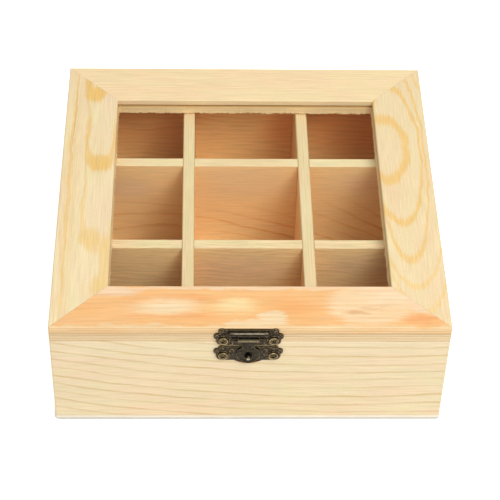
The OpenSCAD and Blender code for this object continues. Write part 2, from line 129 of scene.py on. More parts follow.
# A board's figure where the board itself doesn't say otherwise. Places and lengths are in mm
PLAIN_BOARD = {
    "centre": (0, 0),           # middle of the figure, along and across the board
    "pale": CREAM,              # sapwood
    "warm": ROSE,               # the tone it drifts to
    "tint": STRAW,              # its flushes
    "dark": HONEY,              # summer wood
    "upright_shade": None,               # tone of the painted shade on upright faces inside the box
    "bow": (0, 0, 0),           # rings per square mm, along, across and through the board
    "start": 0.5,               # ring that lies at the centre
    "line": 0.3,                # share of a ring that is dark
    "depth": 0.6,               # how dark it is
    "wander": 1.6,              # how many rings a line sways by
    "wave": 110,                # length of a sway
    "clear": None,              # levels across the board between which the lines end
    "fray": 14,                 # how far fibres move the edge of a figure along the board,
    "shake": 6,                 # how far it sways across the board,
    "tear": 3,                  # and how far short fibres tear it there
    "patches": (),
    "ovals": (),
    "square": 2.0,              # how square the ovals' shoulders are: 2 is an ellipse
    "open": None,               # shares of an oval's length between which its sides thin out
    "joints": (),
    "streak": (0.86, 1.05),     # darkest and palest fibre
    "arris": 0.18,              # how much paler the arrises are: raised fibres and painted highlight
}


def board_place(tree, lie, centre):
    """Place on a board in mm about a centre: along the grain, across it, and below its face."""
    axes, face, inward = lie
    xyz = add(tree, "SeparateXYZ", [add(tree, "TexCoord").outputs["Object"]])
    turned = add(tree, "CombineXYZ", [xyz.outputs[axis] for axis in axes])
    return add(tree, "VectorMath",
               [turned, (1 / MM, 1 / MM, inward / MM),
                (-centre[0], -centre[1], -inward * face)],
               operation="MULTIPLY_ADD")


def stretched_noise(tree, place, size, seed, detail=2):
    """Noise with features of a size given in mm along the grain, across it and through it. It
    runs from about 0.3 to 0.7, and so do the ranges by which it is drawn."""
    shrunk = add(tree, "VectorMath", [place, [1 / length for length in size]],
                 operation="MULTIPLY")
    moved = add(tree, "VectorMath", [shrunk, [seed * step for step in SEED_STEPS]],
                operation="ADD")
    return add(tree, "TexNoise", {"Vector": moved, "Scale": 1, "Detail": detail},
               noise_dimensions="3D")


def growth_rings(tree, place, board):
    """Dark line of each yearly ring, 0 to 1, where the board cuts through the log."""
    sway = stretched_noise(tree, place, (board["wave"], SWAY_ACROSS, SWAY_ACROSS),
                           board["seed"], detail=4)
    straight = add(tree, "VectorMath", [place, board["rise"]], operation="DOT_PRODUCT")
    squared = add(tree, "VectorMath", [place, place], operation="MULTIPLY")
    bowed = add(tree, "VectorMath", [squared, board["bow"]], operation="DOT_PRODUCT")
    rings = add(tree, "Math", [straight, bowed], operation="ADD")
    rings = add(tree, "Math", [sway, board["wander"], rings], operation="MULTIPLY_ADD")
    rings = add(tree, "Math", [rings, board["start"]], operation="ADD")
    part = add(tree, "Math", [rings], operation="FRACT")
    year = add(tree, "TexWhiteNoise", {"W": add(tree, "Math", [rings], operation="FLOOR")},
               noise_dimensions="1D")
    # Summer wood darkens slowly and ends at once with the winter
    share = board["line"]
    darkening = add(tree, "MapRange", [part, 1 - 2 * share, 1 - 0.45 * share],
                    interpolation_type="SMOOTHSTEP")
    ending = add(tree, "MapRange", [part, 1 - 0.4 * share, 1, 1, 0],
                 interpolation_type="SMOOTHSTEP")
    line = add(tree, "Math", [darkening, ending], operation="MULTIPLY")
    # Some years, and some stretches of a year, are fainter
    fading = add(tree, "MapRange", [stretched_noise(tree, place, FADING, board["seed"] + 6),
                                    0.35, 0.6, 0.45, 1])
    strength = add(tree, "MapRange", [year, 0, 1, 0.5, 1])
    strength = add(tree, "Math", [strength, fading], operation="MULTIPLY")
    if board["clear"]:
        level = add(tree, "SeparateXYZ", [place]).outputs["Y"]
        strength = add(tree, "Math", [strength, add(tree, "MapRange", [level, *board["clear"],
                                                                       1, 0.12])],
                       operation="MULTIPLY")
    return add(tree, "Math", [line, strength], operation="MULTIPLY")


def reach(tree, place, middle, half_sizes, power):
    """How far a place lies out from the middle of an oval: 1 on its outline, and how far along
    it. A power above 2 squares the oval's shoulders."""
    off = add(tree, "VectorMath", [place, (*middle, 0)], operation="SUBTRACT")
    off = add(tree, "VectorMath", [off, (1 / half_sizes[0], 1 / half_sizes[1], 0)],
              operation="MULTIPLY")
    size = add(tree, "SeparateXYZ", [add(tree, "VectorMath", [off], operation="ABSOLUTE")])
    parts = [add(tree, "Math", [size.outputs[axis], power], operation="POWER")
             for axis in "XY"]
    out = add(tree, "Math", [add(tree, "Math", parts, operation="ADD"), 1 / power],
              operation="POWER")
    return out, add(tree, "SeparateXYZ", [off]).outputs["X"]


def upright_shade_faces(tree, facing, lie, is_wall):
    """1 on the faces that get the painted shade of the box's inside, and 0 on the others."""
    if not is_wall:
        return add(tree, "MapRange", [facing.outputs["Z"], 0.6, 0.3])
    # A wall is cream outside: its painted shade is on its inner face only
    axes, _, inward = lie
    inside = add(tree, "Math", [facing.outputs[axes[2]], inward], operation="MULTIPLY")
    return add(tree, "MapRange", [inside, 0.2, 0.6])


def frayed_place(tree, place, board):
    """Place by which a figure is drawn, with its edges broken up by the fibres, and the streaks
    in which the fibres of one colour run on into the other."""
    fringe = stretched_noise(tree, place, FRINGE, board["seed"] + 4, detail=3)
    waver = stretched_noise(tree, place, WAVER, board["seed"] + 5)
    ripple = stretched_noise(tree, place, RIPPLE, board["seed"] + 8, detail=3)
    fray, shake, tear = board["fray"], board["shake"], board["tear"]
    ragged = add(tree, "Math", [ripple, tear, -(shake + tear) / 2], operation="MULTIPLY_ADD")
    shift = add(tree, "CombineXYZ", [
        add(tree, "Math", [fringe, fray, -fray / 2], operation="MULTIPLY_ADD"),
        add(tree, "Math", [waver, shake, ragged], operation="MULTIPLY_ADD")])
    streaks = add(tree, "MapRange", [fringe, 0.36, 0.56, 0.68, 1])
    return add(tree, "VectorMath", [place, shift], operation="ADD"), streaks


def figured(tree, colour, place, board, within):
    """Colour with the board's patches and ovals over it. Where 'within' is given, it says on
    which faces the patches show."""
    frayed, streaks = frayed_place(tree, place, board)
    middle_x, middle_y = board["centre"]
    for tone, (x, y), half_sizes, weight, soft in board["patches"]:
        out, _ = reach(tree, frayed, (x - middle_x, y - middle_y), half_sizes, PATCH_POWER)
        cover = add(tree, "MapRange", [out, 1 - soft, 1 + 0.3 * soft, weight, 0],
                    interpolation_type="SMOOTHSTEP")
        cover = add(tree, "Math", [cover, streaks], operation="MULTIPLY")
        if within:
            cover = add(tree, "Math", [cover, within], operation="MULTIPLY")
        colour = add(tree, "Mix", {0: cover, 6: colour, 7: linear(tone)}, data_type="RGBA")
    for tone, (x, y), half_sizes, band, weight in board["ovals"]:
        out, along = reach(tree, frayed, (x - middle_x, y - middle_y), half_sizes,
                           board["square"])
        rising = add(tree, "MapRange", [out, 1 - band, 1 - 0.5 * band, 0, weight],
                     interpolation_type="SMOOTHSTEP")
        falling = add(tree, "MapRange", [out, 1 - 0.15 * band, 1 + 0.25 * band, 1, 0],
                      interpolation_type="SMOOTHSTEP")
        cover = add(tree, "Math", [rising, falling], operation="MULTIPLY")
        if board["open"]:
            sides = add(tree, "MapRange", [along, *board["open"], 1, 0])
            cover = add(tree, "Math", [cover, sides], operation="MULTIPLY")
        colour = add(tree, "Mix", {0: cover, 6: colour, 7: linear(tone)}, data_type="RGBA")
    return colour


def with_depth_lines(tree, colour, place, facing, board):
    """Colour with thin dark lines at one depth on a board's sides, such as glue in a joint, and
    at no depth on its top face too, which is painted shade where the glass lies on the beads."""
    for depth, half_width, tone in board["joints"]:
        below = add(tree, "SeparateXYZ", [place])
        near = add(tree, "Math", [below.outputs["Z"], depth], operation="SUBTRACT")
        near = add(tree, "Math", [near], operation="ABSOLUTE")
        near = add(tree, "MapRange", [near, 0.4 * half_width, half_width, 0.85, 0])
        if depth:
            flat_on = add(tree, "Math", [facing.outputs[board["lie"][0][2]]],
                          operation="ABSOLUTE")
            beside = add(tree, "MapRange", [flat_on, 0.3, 0.6, 1, 0])
            near = add(tree, "Math", [near, beside], operation="MULTIPLY")
        colour = add(tree, "Mix", {0: near, 6: colour, 7: linear(tone)}, data_type="RGBA")
    return colour


def pine(node, board):
    """Scots pine, sawn, sanded and left bare. Pale earlywood with darker lines of summer wood,
    fine fibres along the grain, and a matt face with a slight sheen."""
    board = {**PLAIN_BOARD, **board}
    material, tree = new_material("pine_" + node)
    place = board_place(tree, board["lie"], board["centre"])
    facing = add(tree, "SeparateXYZ", [add(tree, "TexCoord").outputs["Normal"]])
    seed = board["seed"]
    line = growth_rings(tree, place, board)
    cloud = stretched_noise(tree, place, CLOUD, seed + 1)
    blush = stretched_noise(tree, place, BLUSH, seed + 2)
    fibre = stretched_noise(tree, place, FIBRE, seed + 3, detail=3)

    # Sapwood drifts between two tones, with flushes of a third
    colour = add(tree, "Mix", {0: add(tree, "MapRange", [cloud, 0.35, 0.65]),
                               6: linear(board["pale"]), 7: linear(board["warm"])},
                 data_type="RGBA")
    colour = add(tree, "Mix", {0: add(tree, "MapRange", [blush, 0.5, 0.75, 0, 0.6]),
                               6: colour, 7: linear(board["tint"])}, data_type="RGBA")
    within = None
    if board["upright_shade"]:
        # Painted shade: upright faces inside the box get a warm tan below their cream top edges,
        # for the shade in there; on the beads this tone is also that of their sawn faces
        is_wall = node.endswith("_wall")
        upright_shade = upright_shade_faces(tree, facing, board["lie"], is_wall)
        depth = add(tree, "Math", [cloud, 0.4, 0.7], operation="MULTIPLY_ADD")
        colour = add(tree, "Mix", {0: add(tree, "Math", [upright_shade, depth], operation="MULTIPLY",
                                          use_clamp=True),
                                   6: colour, 7: linear(board["upright_shade"])}, data_type="RGBA")
        within = upright_shade if is_wall else None
    colour = figured(tree, colour, place, board, within)
    colour = add(tree, "Mix", {0: add(tree, "Math", [line, board["depth"]],
                                      operation="MULTIPLY"),
                               6: colour, 7: linear(board["dark"])}, data_type="RGBA")
    colour = with_depth_lines(tree, colour, place, facing, board)
    pores = stretched_noise(tree, place, PORE, seed + 7, detail=1)
    grain = add(tree, "Math", [pores, 0.45, fibre], operation="MULTIPLY_ADD")
    streaks = add(tree, "MapRange", [grain, 0.45, 1.0, *board["streak"]])
    colour = add(tree, "Mix", {0: 1.0, 6: colour, 7: streaks}, data_type="RGBA",
                 blend_type="MULTIPLY")

    # Cut ends show open pores: a little darker than the long grain
    square_on = add(tree, "Math", [facing.outputs[board["lie"][0][0]]], operation="ABSOLUTE")
    cut_end = add(tree, "MapRange", [square_on, 0.75, 0.95])
    colour = add(tree, "Mix", {0: add(tree, "Math", [cut_end, 0.35], operation="MULTIPLY"),
                               6: colour, 7: linear(CUT_END)}, data_type="RGBA")

    # Arrises are sanded round, and painted paler: their raised fibres, and a painted highlight
    # where they catch the light
    rounded = add(tree, "Bevel", {"Radius": ARRIS_RADIUS * MM}, samples=4)
    bend = add(tree, "VectorMath", [rounded, add(tree, "NewGeometry").outputs["Normal"]],
               operation="DOT_PRODUCT")
    arris = add(tree, "MapRange", [bend, 0.99, 0.86, 0, board["arris"]])
    colour = add(tree, "Mix", {0: arris, 6: colour, 7: linear(ARRIS_FIBRES_AND_HIGHLIGHT)}, data_type="RGBA")
    relief = add(tree, "Math", [line, 0.6, fibre], operation="MULTIPLY_ADD")
    bump = add(tree, "Bump", {"Strength": 0.35, "Distance": FIBRE_RELIEF * MM,
                              "Height": relief, "Normal": rounded})
    roughness = add(tree, "MapRange", [fibre, 0.25, 0.75, 0.52, 0.68])
    wood = add(tree, "BsdfPrincipled", {"Base Color": colour, "Roughness": roughness,
                                        "Normal": bump, "IOR": 1.45,
                                        "Specular IOR Level": 0.28})
    add(tree, "OutputMaterial", [wood])
    return material


# Warm tan of the painted shade on upright faces inside the box, summer wood in flat-sawn boards,
# and the sawn beads' upright faces, whose tone stands for their shade too
SHADE_TAN = "#fbc384"
GOLD, PALE_GOLD = "#f3c878", "#f5d391"
SAWN = "#ffdcaa"
# Lines at a depth, as (depth below the show face, half width, colour) in mm: the glue line
# between frame and rim, and painted shade along the bed of the glass, over the beads' top faces
GLUE_LINE = (6.0, 0.6, "#a07444")
GLASS_BED_SHADE = (0, 0.35, "#e4ae68")

# Each board's own figure. rise is rings per mm along, across and through the board. Patches are
# (colour, middle, half sizes, weight, softness), and ovals, where a ring comes to the surface,
# are (colour, middle, half sizes, share of the radius that is dark, weight), with middles and
# half sizes in mm along and across the board.
# The upright tone given to the walls and dividers is painted shade, for the shade inside the box
BOARDS = {
    # The front wall's arrises are painted palest: a painted highlight on its top arris
    "front_wall": {
        "lie": LIE_FRONT, "seed": 1, "centre": (62, 0), "rise": (0, 1 / 7.4, 1 / 5),
        "bow": (-0.00062 / 7.4, 0, 0), "start": 0.32, "line": 0.16, "depth": 0.72,
        "wander": 1.3, "wave": 90, "dark": "#cfae6a", "pale": "#f0deb8", "warm": "#f3dab6",
        "tint": "#ecdfae", "arris": 0.9, "upright_shade": SHADE_TAN},
    "back_wall": {
        "lie": LIE_BACK, "seed": 2, "centre": (-20, 0), "rise": (0.001, 1 / 4.2, 1 / 4),
        "bow": (0.00004, 0, 0), "wander": 3.4, "wave": 60, "line": 0.36, "depth": 0.25,
        "dark": "#b86c38", "upright_shade": "#ffc886", "streak": (0.86, 1.16),
        # Painted shade: these patches darken and redden the back cells and their upper corners,
        # where the lid shades them
        "patches": [
            ("#ffb672", (-72, 50), (42, 40), 0.8, 0.5),
            ("#fba660", (78, 50), (42, 40), 0.85, 0.5),
            ("#f08c4c", (27, 44), (17, 26), 0.5, 0.9),
            ("#d98048", (-52, 60), (22, 12), 0.5, 0.9),
            ("#d97c44", (92, 56), (24, 14), 0.45, 0.9)]},
    "left_wall": {
        "lie": LIE_LEFT, "seed": 3, "centre": (10, 30), "rise": (0.002, 0, 1 / 3),
        "bow": (0.00012, 0.0028, 0), "line": 0.22, "depth": 0.5, "upright_shade": SHADE_TAN},
    "right_wall": {
        "lie": LIE_RIGHT, "seed": 4, "centre": (-30, 0), "rise": (-0.001, 1 / 6.5, 1 / 4),
        "bow": (0.00006, 0, 0), "line": 0.22, "depth": 0.5, "upright_shade": SHADE_TAN},
    "long_divider_left": {
        "lie": lying("YZX", "long_divider_left", LOW), "seed": 5,
        "rise": (0.0008, 1 / 6, 1 / 1.6), "depth": 0.4, "upright_shade": SHADE_TAN},
    "long_divider_right": {
        "lie": lying("YZX", "long_divider_right", LOW), "seed": 6,
        "rise": (-0.0006, 1 / 5, 1 / 1.7), "depth": 0.4, "upright_shade": SHADE_TAN},
    "cross_divider_front": {
        "lie": lying("XZY", "cross_divider_front", LOW), "seed": 7,
        "rise": (0.0015, 1 / 3.4, 1 / 2.2), "line": 0.44, "depth": 0.24, "wander": 5.0,
        "wave": 42, "dark": "#b98458", "upright_shade": "#ffd69e", "streak": (0.84, 1.18),
        # Painted light: pale pink patches near the top of the face, where light through the
        # window falls
        "patches": [
            ("#f3c9a6", (-10, 52), (40, 16), 0.7, 0.9),
            ("#f0c8a4", (70, 56), (26, 12), 0.6, 0.9)]},
    "cross_divider_back": {
        "lie": lying("XZY", "cross_divider_back", LOW), "seed": 8,
        "rise": (0.027, 1 / 11, 1 / 2.5), "bow": (0.0002, 0, 0), "line": 0.16, "depth": 0.52,
        "wave": 90, "clear": (26, 44), "dark": "#e0904a", "upright_shade": "#ffd096",
        "streak": (0.88, 1.12),
        # Painted light: pale patches near the top of the face, where light through the window
        # falls
        "patches": [
            ("#f2c89a", (-4, 58), (44, 20), 0.85, 0.7),
            ("#f7cfa8", (-80, 52), (26, 12), 0.8, 0.9),
            ("#f2c39a", (78, 56), (24, 11), 0.7, 0.9)]},
    "lid_rim_front": {
        "lie": LIE_FRONT, "seed": 9, "rise": (0.0004, 1 / 2.3, 1 / 3), "line": 0.4,
        "depth": 0.8, "wander": 1.0, "dark": "#be9660", "pale": "#ecd4a9",
        "warm": "#ecd0a6", "tint": "#e6d2a2"},
    "lid_rim_back": {
        "lie": LIE_BACK, "seed": 10, "rise": (0.0005, 1 / 2.6, 1 / 3), "line": 0.35},
    "lid_rim_left": {
        "lie": LIE_LEFT, "seed": 11, "rise": (0.0006, 1 / 2.4, 1 / 3), "line": 0.35},
    "lid_rim_right": {
        "lie": LIE_RIGHT, "seed": 12, "rise": (0.0004, 1 / 2.8, 1 / 3), "line": 0.35},
    # Heartwood with cream sapwood breaking through in broad patches
    "lid_frame_front": {
        "lie": LIE_TOP_X, "seed": 13, "rise": (0.0006, 1 / 3.6, 1 / 1.5), "line": 0.4,
        "depth": 0.22, "wander": 2.5, "pale": "#f9c180", "warm": "#fac487",
        "tint": "#f9c993", "dark": "#e29a5c", "fray": 18, "shake": 8, "tear": 4.5,
        "joints": [GLUE_LINE, (0.9, 0.5, "#e8bd88"), (3.1, 0.45, "#dcae78"),
                   (4.8, 0.45, "#d2a26c")],
        "patches": [
            ("#f8ae6c", (-36, -97), (44, 3.4), 0.7, 0.9),
            ("#f7ad6a", (-40, -110.5), (40, 3.2), 0.7, 0.9),
            ("#f6ad6c", (27, -103), (16, 9), 0.6, 0.9),
            ("#fce6bc", (-50, -103.4), (23, 8.0), 0.95, 0.75),
            ("#fbd498", (-10.5, -103), (19, 10), 0.85, 0.7),
            ("#fce4ac", (-8.5, -101.6), (12, 6.2), 0.95, 0.75),
            ("#f8deb2", (4, -116.2), (19, 4.2), 1, 0.2),
            ("#f8deb2", (13, -111.8), (9, 5.6), 1, 0.2),
            ("#fadcb0", (72.5, -101), (27.5, 18), 1, 0.25),
            ("#fbcf98", (80, -107), (20, 7), 0.3, 0.8),
            ("#fbe2bc", (88, -95), (26, 6), 0.9, 0.6),
            ("#f9dab4", (20, -87.2), (150, 2.6), 0.9, 0.6),
            ("#f9dab6", (-82, -90.5), (17, 4.6), 0.95, 0.5),
            ("#f8debb", (109, -102), (14, 8), 0.95, 0.4),
            ("#e2ad7c", (64, -107), (9, 2), 0.85, 0.8),
            ("#e8be90", (74, -103.5), (8, 1.4), 0.75, 0.8),
            ("#f7b074", (103, -113), (14, 3.6), 0.95, 0.7),
            ("#f3d6a6", (0, -120.6), (300, 3.0), 0.95, 0.3)]},
    "lid_frame_back": {
        "lie": LIE_TOP_X, "seed": 14, "rise": (0.0010, 1 / 2.7, 1 / 1.6), "line": 0.4,
        "depth": 0.22, "wander": 1.4, "pale": "#fbe3b4", "warm": "#fcdeb2",
        "tint": "#f6e3ae", "dark": "#e6b97e", "joints": [GLUE_LINE]},
    # Flat-sawn: rings come to the surface in tongues of gold that point down the board
    "lid_frame_left": {
        "lie": LIE_TOP_Y, "seed": 15, "centre": (30, -97), "rise": (0, 0, 1 / 1.6),
        "bow": (0.00006, 0.004, 0), "line": 0.22, "depth": 0.28, "wander": 0.8,
        "pale": "#f8e4b8", "warm": "#f6dcb4", "tint": "#f1e4b0", "dark": "#e6c184",
        "square": 3.2, "open": (-0.35, 0.6), "tear": 1.8, "joints": [GLUE_LINE],
        "patches": [
            (PALE_GOLD, (0, -112.5), (170, 5.5), 0.35, 0.8),
            (GOLD, (0, -114.2), (170, 1.3), 0.7, 0.8),
            ("#dfb06c", (70, -113.2), (55, 0.6), 0.7, 0.7),
            ("#e3bd7c", (32, -105), (75, 0.55), 0.6, 0.6),
            (PALE_GOLD, (-72, -88.5), (30, 4.2), 0.9, 0.4),
            (GOLD, (93, -100), (9, 5.6), 0.9, 0.4),
            (GOLD, (24, -96.5), (8.5, 8.4), 0.9, 0.35),
            (PALE_GOLD, (-45, -99), (9.5, 7.5), 0.9, 0.4),
            (PALE_GOLD, (-86, -92), (9, 5), 0.9, 0.4)],
        "ovals": [
            (GOLD, (113, -100.6), (28, 7.8), 0.62, 0.95),
            (GOLD, (64, -95.8), (48, 10.4), 0.3, 0.7),
            (PALE_GOLD, (-2, -94), (56, 11.5), 0.3, 0.7)]},
    "lid_frame_right": {
        "lie": LIE_TOP_Y, "seed": 16, "centre": (39, 93), "rise": (0, 0, 1 / 1.6),
        "bow": (1 / 5600, 1 / 450, 0), "start": 0.66, "depth": 0.08,
        "pale": "#f4dfb2", "warm": "#f3d8ad", "tint": "#eddfaa", "dark": "#e9c47c",
        "tear": 1.2, "joints": [GLUE_LINE],
        "ovals": [
            (GOLD, (38, 91.5), (34, 14.8), 0.34, 0.8),
            (GOLD, (35, 97), (69, 18), 0.12, 0.8),
            (GOLD, (31, 100), (98, 17.4), 0.09, 0.7),
            (PALE_GOLD, (20, 102), (109, 25), 0.055, 0.85),
            (PALE_GOLD, (20, 105), (129.5, 27), 0.045, 0.85)]},
    # Plywood: the face veneer has broad figure, and the edge shows three plies 1 mm thick
    "bottom_panel": {
        "lie": lying("XYZ", "bottom_panel", LOW), "seed": 21, "rise": (0.004, 1 / 16, 1),
        "start": 0.9, "depth": 0.5, "wander": 1.8, "pale": "#fff9ea", "warm": "#fdf3e0",
        "tint": "#fdf6e4", "dark": "#e6d6b4"},
}
for seed, side in enumerate(("front", "back", "left", "right"), start=17):
    BOARDS["glass_bead_" + side] = {
        "lie": LIE_BEAD_X if side in ("front", "back") else LIE_BEAD_Y, "seed": seed,
        "rise": (0.001, 1 / 2.5, 1 / 1.5), "upright_shade": SAWN, "joints": [GLASS_BED_SHADE]}

for node, board in BOARDS.items():
    paint(node, pine(node, board))


# ---------- Glass and metal ----------

def float_glass():
    """Float glass, 2 mm. Clear and so smooth that it mirrors sharply, though weakly, as in a
    studio where nothing bright stands behind it: hence an IOR below glass's own 1.5.
    Lamps and bounced light pass straight through it."""
    material, tree = new_material("float_glass")
    glass = add(tree, "BsdfPrincipled", {
        "Base Color": linear("#fbfefc"), "Roughness": 0.0, "IOR": 1.09,
        "Transmission Weight": 1.0})
    open_air = add(tree, "BsdfTransparent", [linear("#fbfefc")])
    ray = add(tree, "LightPath")
    passed = add(tree, "Math", [ray.outputs["Is Shadow Ray"], ray.outputs["Is Diffuse Ray"]],
                 operation="MAXIMUM")
    add(tree, "OutputMaterial", [add(tree, "MixShader", [passed, glass, open_air])])
    return material


# Stamped curls: their rings, in radians over the whole range of the noise, and their height in
# mm. Then how bright a rubbed crown is beside a rubbed edge, and the tone of dirt in corners
CURL_RINGS, STAMP_RELIEF = 22, 0.15
CROWN_RUB, DIRT = 0.62, "#0f0c09"


def antique_bronze(name, dark, mid, worn, stamped, crowns, arris=0.3, dust=1.0):
    """Stamped steel plated in antique bronze: near-black in the hollows, rubbed through to
    warm metal on the edges, with mottled patina. 'stamped' is how deep its curls are, 'crowns'
    the two levels in mm between which what stands out in front is rubbed, 'arris' how wide its
    rubbed edges are, and 'dust' how far dirt reaches out of its corners, in mm."""
    material, tree = new_material(name)
    place = add(tree, "VectorMath", {0: add(tree, "TexCoord").outputs["Object"],
                                     "Scale": 1 / MM}, operation="SCALE")
    # Scales of patterns are features per mm: patches of patina 2 mm across, and grit of 0.4 mm
    patina = add(tree, "TexNoise", {"Vector": place, "Scale": 0.55, "Detail": 4})
    grit = add(tree, "TexNoise", {"Vector": place, "Scale": 2.6, "Detail": 3})
    # Stamped scrollwork: curls about 1.6 mm across
    swirl = add(tree, "TexNoise", {"Vector": place, "Scale": 0.45, "Detail": 1,
                                   "Distortion": 2.4})
    curls = add(tree, "Math", [add(tree, "Math", [swirl, CURL_RINGS], operation="MULTIPLY")],
                operation="SINE")
    rounded = add(tree, "Bevel", {"Radius": arris * MM}, samples=6)
    flat = add(tree, "NewGeometry").outputs["Normal"]
    turn = add(tree, "VectorMath", [rounded, flat], operation="DOT_PRODUCT")
    edge = add(tree, "MapRange", [turn, 0.995, 0.88, 0, 1])
    # What stands out furthest in front is rubbed brightest: ridge, knuckles, stud and lip
    crown = add(tree, "MapRange", [add(tree, "SeparateXYZ", [place]).outputs["Y"], *crowns,
                                   0, CROWN_RUB])
    rubbed = add(tree, "Math", [add(tree, "Math", [edge, crown], operation="MAXIMUM"), grit],
                 operation="MULTIPLY")
    rubbed = add(tree, "MapRange", [rubbed, 0.2, 0.5])
    raised = add(tree, "MapRange", [curls, 0.55, 1.0, 0, 0.35 * stamped])
    rubbed = add(tree, "Math", [rubbed, raised], operation="MAXIMUM")
    colour = add(tree, "Mix", {0: add(tree, "MapRange", [patina, 0.38, 0.66]),
                               6: linear(dark), 7: linear(mid)}, data_type="RGBA")
    colour = add(tree, "Mix", {0: rubbed, 6: colour, 7: linear(worn)}, data_type="RGBA")
    # Dark patina and dirt lie in recesses and corners
    hollow = add(tree, "AmbientOcclusion", {"Distance": dust * MM}, samples=8)
    hollow = add(tree, "MapRange", [hollow.outputs["AO"], 0.5, 0.93, 0.95, 0])
    colour = add(tree, "Mix", {0: hollow, 6: colour, 7: linear(DIRT)}, data_type="RGBA")
    roughness = add(tree, "MapRange", [grit, 0.3, 0.7, 0.24, 0.46])
    relief = add(tree, "Math", [curls, stamped, grit], operation="MULTIPLY_ADD")
    bump = add(tree, "Bump", {"Strength": 0.5, "Distance": STAMP_RELIEF * MM,
                              "Height": relief, "Normal": rounded})
    metal = add(tree, "BsdfPrincipled", {"Base Color": colour, "Roughness": roughness,
                                         "Metallic": 0.9, "Normal": bump})
    add(tree, "OutputMaterial", [metal])
    return material


def drawn_steel():
    """Bright drawn steel wire of the bead pins, with fine scratches."""
    material, tree = new_material("drawn_steel")
    place = add(tree, "VectorMath", [add(tree, "TexCoord").outputs["Object"],
                                     (1 / MM, 1 / MM, 0.1 / MM)], operation="MULTIPLY")
    scratch = add(tree, "TexNoise", {"Vector": place, "Scale": 6, "Detail": 3})
    colour = add(tree, "Mix", {0: scratch, 6: linear("#8f8a82"), 7: linear("#c4bfb5")},
                 data_type="RGBA")
    metal = add(tree, "BsdfPrincipled", {
        "Base Color": colour, "Metallic": 1.0,
        "Roughness": add(tree, "MapRange", [scratch, 0.3, 0.7, 0.25, 0.45]),
        "Normal": add(tree, "Bump", {"Strength": 0.2, "Distance": 0.02 * MM,
                                     "Height": scratch})})
    add(tree, "OutputMaterial", [metal])
    return material


paint("window_glass", float_glass())
paint("glass_bead_pins", drawn_steel())
# Levels in mm between which a crown is rubbed bright, back to front: the hasp's knuckle, and
# the stud's tip. On the plates only the edges are rubbed, so their levels lie before it all
KNUCKLE = (-123.0, -123.3)
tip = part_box("latch_stud")[0].y / MM
plate = antique_bronze("stamped_bronze_plate", "#130f0b", "#2c241a", "#b89e6c", 0.5,
                       (tip - 1, tip - 2))
plain = antique_bronze("bronze_sheet", "#1c1711", "#363024", "#b0a078", 0.1, KNUCKLE)
worn_tip = antique_bronze("bronze_stud", "#1c1610", "#4a3d2c", "#f2dfba", 0.1,
                          (tip + 0.7, tip + 0.2))
rubbed_heads = antique_bronze("rubbed_bronze_screws", "#392e20", "#6c5b3a", "#e6d2a4", 0.0,
                              KNUCKLE, arris=0.12, dust=3.0)
rubbed_scrolls = antique_bronze("rubbed_bronze_scrolls", "#40352a", "#8a775a", "#e0cca0", 0.0,
                                KNUCKLE)
# Screw heads' rims: worn, and painted bright as their highlight
rims_worn_and_highlit = antique_bronze("rubbed_bronze_rims", "#8a7850", "#c2ae7e", "#f2e4bc", 0.0,
                             KNUCKLE, dust=0.4)
# Painted highlight: near-white bronze for the line along the ridge's crest
ridge_highlight = antique_bronze("bronze_ridge_highlight", "#b2aa94", "#d6cebb", "#f6f0e2", 0.0,
                              KNUCKLE, dust=0.4)
# Painted reflection: coppery bronze on the base plate's lip, for the pine it mirrors
lip_reflection = antique_bronze("bronze_lip_reflection", "#6e4a2e", "#936641", "#c08e60", 0.0,
                            KNUCKLE, dust=0.3)
for node in ("latch_lid_plate", "latch_base_plate"):
    paint(node, plate)
paint("latch_stud", worn_tip)
for node in ("latch_hasp", "latch_hinge_pin", "hinge_left_box_leaf",
             "hinge_left_lid_leaf", "hinge_left_pin", "hinge_right_box_leaf",
             "hinge_right_lid_leaf", "hinge_right_pin"):
    paint(node, plain)
for node in ("latch_lid_screws", "latch_base_screws", "hinge_box_screws",
             "hinge_lid_screws"):
    paint(node, rubbed_heads)


# ---------- Stamped scrollwork ----------

def piece(name, verts, faces, material, body, smooth=False):
    """Mesh object of points in metres that rides on a body."""
    mesh = bpy.data.meshes.new(name)
    mesh.from_pydata(verts, [], faces)
    mesh.materials.append(material)
    if smooth:
        mesh.shade_smooth()
    made = bpy.data.objects.new(name, mesh)
    bpy.context.scene.collection.objects.link(made)
    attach(made, body)
    return made


def spiral(x, z, start, end, wide, narrow, steps=22):
    """Places along a spiral about (x, z) in mm, from one angle and radius to another."""
    places = []
    for i in range(steps + 1):
        turn = math.radians(start + (end - start) * i / steps)
        radius = wide + (narrow - wide) * i / steps
        places.append((x + radius * math.cos(turn), z + radius * math.sin(turn)))
    return places


def skin(faces, first, rings, sides):
    """Adds the faces of a tube, closed at both ends, whose rings of points start at one."""
    for i in range(rings - 1):
        a, b = first + i * sides, first + (i + 1) * sides
        for k in range(sides):
            n = (k + 1) % sides
            faces.append((a + k, b + k, b + n, a + n))
    last = first + (rings - 1) * sides
    faces.append(tuple(range(first, first + sides)))
    faces.append(tuple(reversed(range(last, last + sides))))


# A raised line's sides, the share of its thickness that is left at its tips, and how fast it
# swells from there
LINE_SIDES, LINE_TIP, LINE_SWELL = 8, 0.15, 4


